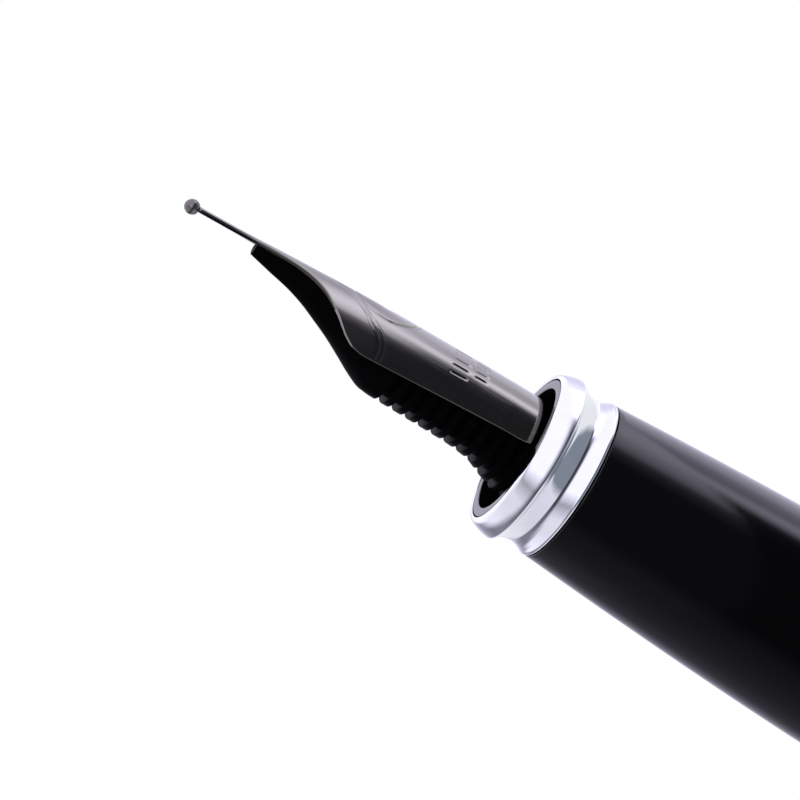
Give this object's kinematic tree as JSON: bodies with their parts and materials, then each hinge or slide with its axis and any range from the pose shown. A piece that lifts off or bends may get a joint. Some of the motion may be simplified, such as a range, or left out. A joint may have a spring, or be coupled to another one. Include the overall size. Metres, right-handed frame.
{
  "type": "fountain pen",
  "caption": "Fountain pen with a dark steel nib, finned feed, flared metal front ring and black tapered grip; its clipped cap is posted on the barrel.",
  "frame": {"origin": "under the middle of the pen with its cap posted, level with the lowest point of the cap's lip", "axes": "+X along the pen from the nib towards the cap's end, +Z towards the upper face of the nib"},
  "size_m": [0.1598, 0.0142, 0.0142],
  "materials": {
    "nib_steel": "dark plated, polished",
    "tip_alloy": "ground",
    "black_plastic": "moulded, low sheen",
    "chrome": "mirror",
    "black_lacquer": "high gloss lacquer on brass",
    "brass": "turned",
    "steel": "turned",
    "clear_plastic": "clear",
    "rubber": "matt"
  },
  "bodies": {
    "section": {"nib": "nib_steel", "tip_pellet_left": "tip_alloy", "tip_pellet_right": "tip_alloy", "feed": "black_plastic", "nib_housing": "black_plastic", "front_ring": "chrome", "section_shell": "black_lacquer", "section_core": "brass", "converter_mouth": "black_plastic", "reservoir": "clear_plastic", "converter_sleeve": "chrome", "rod_guide": "steel"},
    "knob": {"converter_knob": "black_plastic", "drive_nut": "brass"},
    "piston": {"piston_rod": "steel", "piston_seal": "rubber"},
    "barrel": {"barrel_front_ring": "chrome", "barrel_shell": "black_lacquer", "barrel_thread_insert": "brass", "barrel_end_cap": "chrome"},
    "cap": {"cap_lip_ring": "chrome", "snap_sleeve": "black_plastic", "cap_shell": "black_lacquer", "inner_cap": "black_plastic", "clip_ring": "chrome", "finial": "chrome", "finial_inlay": "black_lacquer", "finial_screw": "steel", "clip_pin": "steel", "clip_spring": "steel"},
    "clip": {"clip": "chrome"}
  },
  "joints": [
    {"name": "barrel_unscrew", "type": "slide", "parent": "section", "child": "barrel", "axis": [1, 0, 0], "range_m": [0, 0.065]},
    {"name": "cap_pull", "type": "slide", "parent": "barrel", "child": "cap", "axis": [1, 0, 0], "range_m": [0, 0.03]},
    {"name": "clip_lift", "type": "hinge", "parent": "cap", "child": "clip", "pos_m": [0.0742, -0.00509, 0.00201], "axis": [0, -0.7071, 0.7071], "range_deg": [0, 6], "stiffness_Nm_per_rad": 0.6, "springref_deg": -5.73},
    {"name": "knob_turn", "type": "hinge", "parent": "section", "child": "knob", "pos_m": [0.0133, 0, 0.0071], "axis": [1, 0, 0], "range_deg": [0, 2160]},
    {"name": "piston_slide", "type": "slide", "parent": "section", "child": "piston", "axis": [-1, 0, 0], "range_m": [0, 0.024]}
  ],
  "couplings": [
    {"joint": "knob_turn", "follows": "piston_slide", "rad_per_m": 1570.8}
  ]
}
